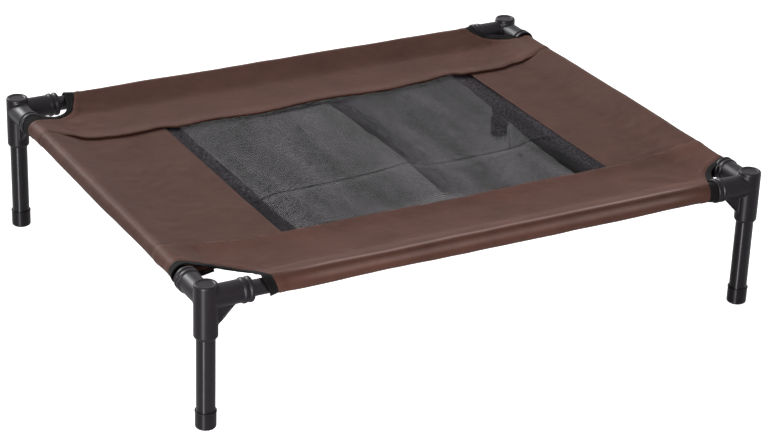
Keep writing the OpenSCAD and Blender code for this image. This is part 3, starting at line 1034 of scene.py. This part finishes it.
class COT_OT_stage(bpy.types.Operator):
    """Set the floor, the soft light, the white surround and the camera"""

    bl_idname = "cot.stage"
    bl_label = "Stage"

    def execute(self, context):
        stage = context.scene.cot_stage
        context.scene.view_settings.view_transform = "Standard"
        self.make_floor(stage)
        self.make_world(context.scene, stage)
        self.make_key()
        lamps = {name: softbox(name, *settings) for name, settings in SOFTBOXES.items()}
        lamps["fill_light"].visible_glossy = False
        lamps["fill_light"].visible_camera = False
        lamps["strip_light"].visible_diffuse = False
        self.make_camera(context.scene, stage)
        return {"FINISHED"}

    @staticmethod
    def make_key():
        light = bpy.data.lights.new("key_light", "SUN")
        light.energy = KEY_STRENGTH
        light.angle = math.radians(KEY_SPREAD)
        lamp = bpy.data.objects.new("key_light", light)
        lamp.rotation_euler = Vector(KEY_FROM).to_track_quat("Z", "Y").to_euler()
        bpy.context.scene.collection.objects.link(lamp)

    @staticmethod
    def make_floor(stage):
        material, tree = start_material("studio_floor")
        path = add(tree, "ShaderNodeLightPath").outputs
        mirrored = math_node(tree, "MAXIMUM", path["Is Glossy Ray"], path["Is Transmission Ray"])
        glow_seen = math_node(tree, "MULTIPLY", path["Is Camera Ray"], stage.glow)
        glow_mirrored = math_node(tree, "MULTIPLY", mirrored, stage.mirrored_glow)
        pale = add(tree, "ShaderNodeBsdfDiffuse", Color=(*stage.floor, 1))
        glow = add(tree, "ShaderNodeEmission", Strength=math_node(tree, "ADD", glow_seen, glow_mirrored))
        both = add(tree, "ShaderNodeAddShader")
        feed(tree, both.inputs[0], pale.outputs[0])
        feed(tree, both.inputs[1], glow.outputs[0])
        add(tree, "ShaderNodeOutputMaterial", Surface=both.outputs[0])
        bm = bmesh.new()
        bmesh.ops.create_grid(bm, x_segments=1, y_segments=1, size=FLOOR_REACH)
        bmesh.ops.translate(bm, verts=bm.verts, vec=(0, 0, FLOOR_Z))
        dressed("studio_ground", bm, material)

    @staticmethod
    def make_world(scene, stage):
        world = bpy.data.worlds.new("studio")
        world.use_nodes = True
        tree = world.node_tree
        tree.nodes.clear()
        soft = add(tree, "ShaderNodeBackground", Color=(1, 1, 1, 1), Strength=stage.ambient)
        white = add(tree, "ShaderNodeBackground", Color=(1, 1, 1, 1), Strength=1.0)
        mixed = add(tree, "ShaderNodeMixShader", Fac=seen_directly(tree))
        feed(tree, mixed.inputs[1], soft.outputs[0])
        feed(tree, mixed.inputs[2], white.outputs[0])
        add(tree, "ShaderNodeOutputWorld", Surface=mixed.outputs[0])
        scene.world = world

    @staticmethod
    def make_camera(scene, stage):
        out = math.cos(stage.elevation)
        back = Vector((math.sin(stage.azimuth) * out, -math.cos(stage.azimuth) * out, 0))
        back.z = math.sin(stage.elevation)
        level = Vector((0, 0, 1)).cross(back).normalized()
        upright = back.cross(level)
        right = level * math.cos(stage.roll) + upright * math.sin(stage.roll)
        lens = bpy.data.cameras.new("photo_view")
        lens.lens = stage.lens
        lens.clip_end = VIEW_END
        camera = bpy.data.objects.new("photo_view", lens)
        place = Matrix((right, back.cross(right), back)).transposed().to_4x4()
        place.translation = Vector(stage.target) + back * stage.distance
        camera.matrix_world = place
        scene.collection.objects.link(camera)
        scene.camera = camera


SOCKET_RADIUS = 0.014
SOCKET_SKIN = 0.001  # the blend starts this far inside the socket's face
ROUNDING, BLENDING = 2, 20  # rounds of smoothing, all over and beside the sockets
KEPT_FACES = 0.25  # share of the rounded faces that is kept


def smooth(bm, verts, rounds):
    """Draws points towards their neighbours."""
    for _ in range(rounds):
        bmesh.ops.smooth_vert(bm, verts=verts, factor=0.5, use_axis_x=True, use_axis_y=True, use_axis_z=True)


class COT_OT_connectors(bpy.types.Operator):
    """Round the moulded corner connectors and blend their arms into their sockets"""

    bl_idname = "cot.connectors"
    bl_label = "Connectors"

    def execute(self, context):
        finish = context.scene.cot_frame
        plastic = grained(
            "moulded_plastic", finish.moulding,
            grain=900.0, depth=0.0001, rough=0.43, spread=0.12, gloss=0.19, drawn=0.7,
        )
        for corner in CORNERS:
            piece = self.rounded(corner, finish, plastic)
            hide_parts(corner + "_connector")
            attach(piece, "frame")
        return {"FINISHED"}

    @staticmethod
    def rounded(corner, finish, plastic):
        bm = bmesh.new()
        bm.from_mesh(frame["nodes"][corner + "_connector"].data)
        bmesh.ops.remove_doubles(bm, verts=bm.verts, dist=MERGE)
        piece = dressed(corner + "_moulding", bm, plastic)
        remesh = piece.modifiers.new("Rounded", "REMESH")
        remesh.mode = "VOXEL"
        remesh.voxel_size = finish.voxel
        mesh = bpy.data.meshes.new_from_object(piece.evaluated_get(bpy.context.evaluated_depsgraph_get()))
        piece.modifiers.clear()
        bm = bmesh.new()
        bm.from_mesh(mesh)
        axis = middle(corner + "_leg")

        def at_socket(vert):
            away = math.hypot(vert.co.x - axis.x, vert.co.y - axis.y)
            return SOCKET_RADIUS - SOCKET_SKIN < away < SOCKET_RADIUS + finish.blend

        smooth(bm, bm.verts, ROUNDING)
        smooth(bm, [v for v in bm.verts if at_socket(v)], BLENDING)
        bm.to_mesh(piece.data)
        bm.free()
        bpy.data.meshes.remove(mesh)
        piece.data.shade_smooth()
        fewer = piece.modifiers.new("Fewer", "DECIMATE")
        fewer.ratio = KEPT_FACES
        return piece


class COT_OT_tubes(bpy.types.Operator):
    """Coat the rails and legs, and give the foot caps their satin finish"""

    bl_idname = "cot.tubes"
    bl_label = "Tubes and caps"

    def execute(self, context):
        finish = context.scene.cot_frame
        coat = grained(
            "powder_coat", finish.coating,
            grain=1400.0, depth=0.00003, rough=0.33, spread=0.1, gloss=0.26, drawn=0.9,
        )
        cap = grained(
            "cap_plastic", finish.rubber,
            grain=800.0, depth=0.0001, rough=0.36, spread=0.12, gloss=0.18, drawn=0.8,
        )
        for side in (*LONG_SIDES, *SHORT_SIDES):
            self.coat(side + "_rail", coat, "tube_coating")
        for corner in CORNERS:
            self.coat(corner + "_leg", coat, "tube_coating")
            self.coat(corner + "_foot", cap, "foot_plastic")
        return {"FINISHED"}

    @staticmethod
    def coat(node, material, slot):
        piece = frame["nodes"][node]
        piece.data.materials.clear()
        piece.data.materials.append(material)


class COT_OT_cover(bpy.types.Operator):
    """Lay the brown borders over the rails, bind their corners and sew them"""

    bl_idname = "cot.cover"
    bl_label = "Cover"

    def execute(self, context):
        cover = context.scene.cot_cover
        surface = CoverSurface(cover)
        cloth = woven_cloth("border_weave", cover.cloth, cover.weave)
        bindings = self.bind(surface)
        # Painted shade: a darker copy of the cloth for the short strips
        across = [channel * cover.cross_grain_shade for channel in cover.cloth]
        self.lay_long(surface, cloth, bindings)
        self.lay_short(surface, woven_cloth("cross_weave_shaded", across, cover.weave))
        self.sew_borders(surface)
        return {"FINISHED"}

    @staticmethod
    def lay_long(surface, cloth, bindings):
        for side, sign in LONG_SIDES.items():
            bm, flat, area = long_border(surface, side)
            piece = thicken(dressed(side + "_strip", bm, cloth), surface.cover.thickness)
            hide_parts(side + "_border")
            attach(piece, "frame")

    @staticmethod
    def lay_short(surface, cloth):
        for side in SHORT_SIDES:
            bm, flat, area = short_border(surface, side)
            piece = thicken(dressed(side + "_strip", bm, cloth), surface.cover.thickness)
            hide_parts(side + "_border")
            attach(piece, "frame")

    @staticmethod
    def bind(surface):
        tape = ribbed_tape("binding_knit", surface.cover.tape)
        made = {}
        for corner in CORNERS:
            piece = dressed(corner + "_tape", binding(surface, corner), tape)
            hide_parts(corner + "_binding")
            made[corner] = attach(piece, "frame")
        return made

    @staticmethod
    def sew_borders(surface):
        cover = surface.cover
        thread = sewing_thread("border_thread", cover.thread)
        bm = bmesh.new()
        top = cover.thickness / 2
        shape = stitch_shape(cover.stitch)
        for side, sign in LONG_SIDES.items():
            def edge_lay(u, v, lift, side=side, sign=sign):
                limit = WINDOW[side] + along_points(EDGE_WANDER[side], u)
                return surface.point(u, sign * (limit + v), lift + lap_lift(surface, u, v))
            beside_edge = straight((-EDGE_ROW_END, EDGE_ROW), (EDGE_ROW_END, EDGE_ROW))
            sew(bm, shape, beside_edge, edge_lay, cover.stitch, top)
            along_seam = straight(*[(end, sign * surface.deck_y) for end in SEAM_ROW])
            sew(bm, shape, along_seam, surface.point, cover.stitch, top)
        for side, sign in SHORT_SIDES.items():
            for at in (WINDOW[side] + EDGE_ROW, surface.deck_x):
                ends = ((sign * at, ROW_GAP - WINDOW["front"]), (sign * at, WINDOW["back"] - ROW_GAP))
                sew(bm, shape, straight(*ends), surface.point, cover.stitch, top)
        for corner in CORNERS:
            sew(bm, shape, cut_out_row(corner, cover, -EDGE_ROW), surface.point, cover.stitch, top)
        piece = dressed("border_stitching", bm, thread)
        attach(piece, "frame")
        dark = sewing_thread("tape_thread", cover.tape_thread)
        bm = bmesh.new()
        for corner in CORNERS:
            row = cut_out_row(corner, cover, TAPE_ROW)
            sew(bm, shape, row, surface.point, cover.stitch, cover.tape_swell)
        bpy.data.meshes.remove(shape)
        piece = dressed("binding_stitching", bm, dark)
        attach(piece, "frame")


def cut_out_row(corner, cover, inset):
    """Close-set points of the flat pattern beside a cut-out, from one rail's outer side to the other's."""
    side_x, side_y = CORNERS[corner]
    return [
        (side_x * (LEG_X - point.x), side_y * (LEG_Y - point.y))
        for point, _ in tape_route(corner, cover, inset, THREAD_STEP) if min(point) > OUTER_SIDE
    ]


STRAND_MERGE = 1e-7  # cut points of a strand that are closer than this are one


def mesh_strand(across, along, thickness, stops):
    """One flat strand, centred on x = 0 and cut across at the given places along y."""
    bm = bmesh.new()
    bmesh.ops.create_cube(bm, size=1)
    bmesh.ops.scale(bm, verts=bm.verts, vec=(across, along[1] - along[0], thickness))
    bmesh.ops.translate(bm, verts=bm.verts, vec=(0, (along[0] + along[1]) / 2, 0))
    for stop in stops:
        geom = bm.verts[:] + bm.edges[:] + bm.faces[:]
        bmesh.ops.bisect_plane(bm, geom=geom, dist=STRAND_MERGE, plane_co=(0, stop, 0), plane_no=(0, 1, 0))
    return bm


# Where the packing crease across the window runs, as (y, x)
RIDGE_LINE = ((-0.17, 0.006), (-0.03, 0.015), (0.10, 0.012), (0.17, 0.004))
# Where the packing crease along the window runs, as (x, y)
PINCH_LINE = ((-0.21, -0.076), (-0.16, -0.064), (0.0, -0.061), (0.03, -0.067), (0.15, -0.066), (0.21, -0.054))
RIGHT_SPREAD = 0.6  # the crease across the window is steeper on its right
CREASE_MARGIN = 0.016  # the creases fade out this far inside the window
WAVE_HEIGHT, WAVES_X, WAVES_Y = 0.0008, 7, 5  # broad waves between the creases, and their number to the metre
DRAW, DRAW_REACH = 0.8, 1.6  # how far the pleat draws the mesh in, and from how many of its half widths
# Where the strands are cut across to bend: evenly, and closer beside the creases
STRAND_STEP = 0.010
CREASE_STOPS = (-0.003, -0.001, 0.001, 0.003)
RIDGE_AT, PINCH_AT = 0.011, -0.065


class COT_OT_mesh(bpy.types.Operator):
    """Weave the see-through mesh window"""

    bl_idname = "cot.mesh"
    bl_label = "Mesh window"

    def execute(self, context):
        mesh, cover = context.scene.cot_mesh, context.scene.cot_cover
        coated = coated_strands("mesh_coating", mesh.strand)
        low = (-WINDOW["left"] - mesh.allowance, -WINDOW["front"] - mesh.allowance)
        high = (WINDOW["right"] + mesh.allowance, WINDOW["back"] + mesh.allowance)
        bm = bmesh.new()
        self.weave(bm, mesh, (low[0], high[0]), (low[1], high[1]), mesh.thickness / 2, False)
        self.weave(bm, mesh, (low[1], high[1]), (low[0], high[0]), -mesh.thickness / 2, True)
        for vert in bm.verts:
            vert.co.z += DECK_Z - mesh.drop + deck_sag(vert.co.x, vert.co.y, cover)
            vert.co.z += self.creases(vert.co.x, vert.co.y, mesh)
            vert.co.y -= self.gather(vert.co.x, vert.co.y, mesh)
        piece = dressed("mesh_window", bm, coated)
        for polygon in piece.data.polygons:
            polygon.use_smooth = False
        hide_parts("mesh_panel")
        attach(piece, "frame")
        return {"FINISHED"}

    @staticmethod
    def weave(bm, mesh, across, along, height, turned):
        """Sets strands side by side: each runs along, at one place across."""
        crease = RIDGE_AT if turned else PINCH_AT
        stops = ruled((along[0], along[1], STRAND_STEP))[1:-1] + [crease + off for off in CREASE_STOPS]
        strand = mesh_strand(mesh.width, along, mesh.thickness, sorted(stops))
        shape = bpy.data.meshes.new("strand")
        strand.to_mesh(shape)
        strand.free()
        count = int((across[1] - across[0]) / mesh.pitch)
        for k in range(count + 1):
            at = across[0] + k * mesh.pitch
            if turned:
                repeat(bm, shape, lambda co, at=at: (co.y, co.x + at, co.z + height))
            else:
                repeat(bm, shape, lambda co, at=at: (co.x + at, co.y, co.z + height))
        bpy.data.meshes.remove(shape)
        bmesh.ops.recalc_face_normals(bm, faces=bm.faces)

    @staticmethod
    def creases(x, y, mesh):
        """Height of the packing creases."""
        past = x - along_points(RIDGE_LINE, y)
        ridge = math.exp(-abs(past) / (mesh.ridge_spread if past < 0 else RIGHT_SPREAD * mesh.ridge_spread))
        pinch = hump(y, along_points(PINCH_LINE, x), mesh.pinch_spread)
        wave = noise.noise((WAVES_X * x, WAVES_Y * y, 8.8))
        inside = min(y + WINDOW["front"], WINDOW["back"] - y, x + WINDOW["left"], WINDOW["right"] - x)
        height = mesh.ridge * ridge + mesh.pinch * pinch + WAVE_HEIGHT * wave
        return ease_between(inside, 0.0, CREASE_MARGIN) * height

    @staticmethod
    def gather(x, y, mesh):
        """How far a point is drawn towards the pleat along the window."""
        off = y - along_points(PINCH_LINE, x)
        return DRAW * off * hump(off, 0, DRAW_REACH * mesh.pinch_spread)


class COT_PT_panel(bpy.types.Panel):
    """Lists the cot's pieces and their settings"""

    bl_idname = "COT_PT_panel"
    bl_label = "Raised Dog Cot"
    bl_space_type = "VIEW_3D"
    bl_region_type = "UI"
    bl_category = "Cot"

    def draw(self, context):
        for operator in OPERATORS:
            self.layout.operator(operator.bl_idname)
        for name in GROUPS:
            group = getattr(context.scene, name)
            box = self.layout.box()
            for prop in group.bl_rna.properties:
                if prop.identifier not in {"rna_type", "name"}:
                    box.prop(group, prop.identifier)


GROUPS = {"cot_stage": CotStage, "cot_frame": CotFrame, "cot_cover": CotCover, "cot_mesh": CotMesh}
OPERATORS = (COT_OT_stage, COT_OT_tubes, COT_OT_connectors, COT_OT_cover, COT_OT_mesh)
CLASSES = (*GROUPS.values(), *OPERATORS, COT_PT_panel)


def register():
    for cls in CLASSES:
        bpy.utils.register_class(cls)
    for name, group in GROUPS.items():
        setattr(bpy.types.Scene, name, bpy.props.PointerProperty(type=group))


def unregister():
    for name in GROUPS:
        delattr(bpy.types.Scene, name)
    for cls in reversed(CLASSES):
        bpy.utils.unregister_class(cls)


def main():
    register()
    bpy.ops.cot.stage()
    bpy.ops.cot.tubes()
    bpy.ops.cot.connectors()
    bpy.ops.cot.cover()
    bpy.ops.cot.mesh()


if __name__ == "__main__":
    main()
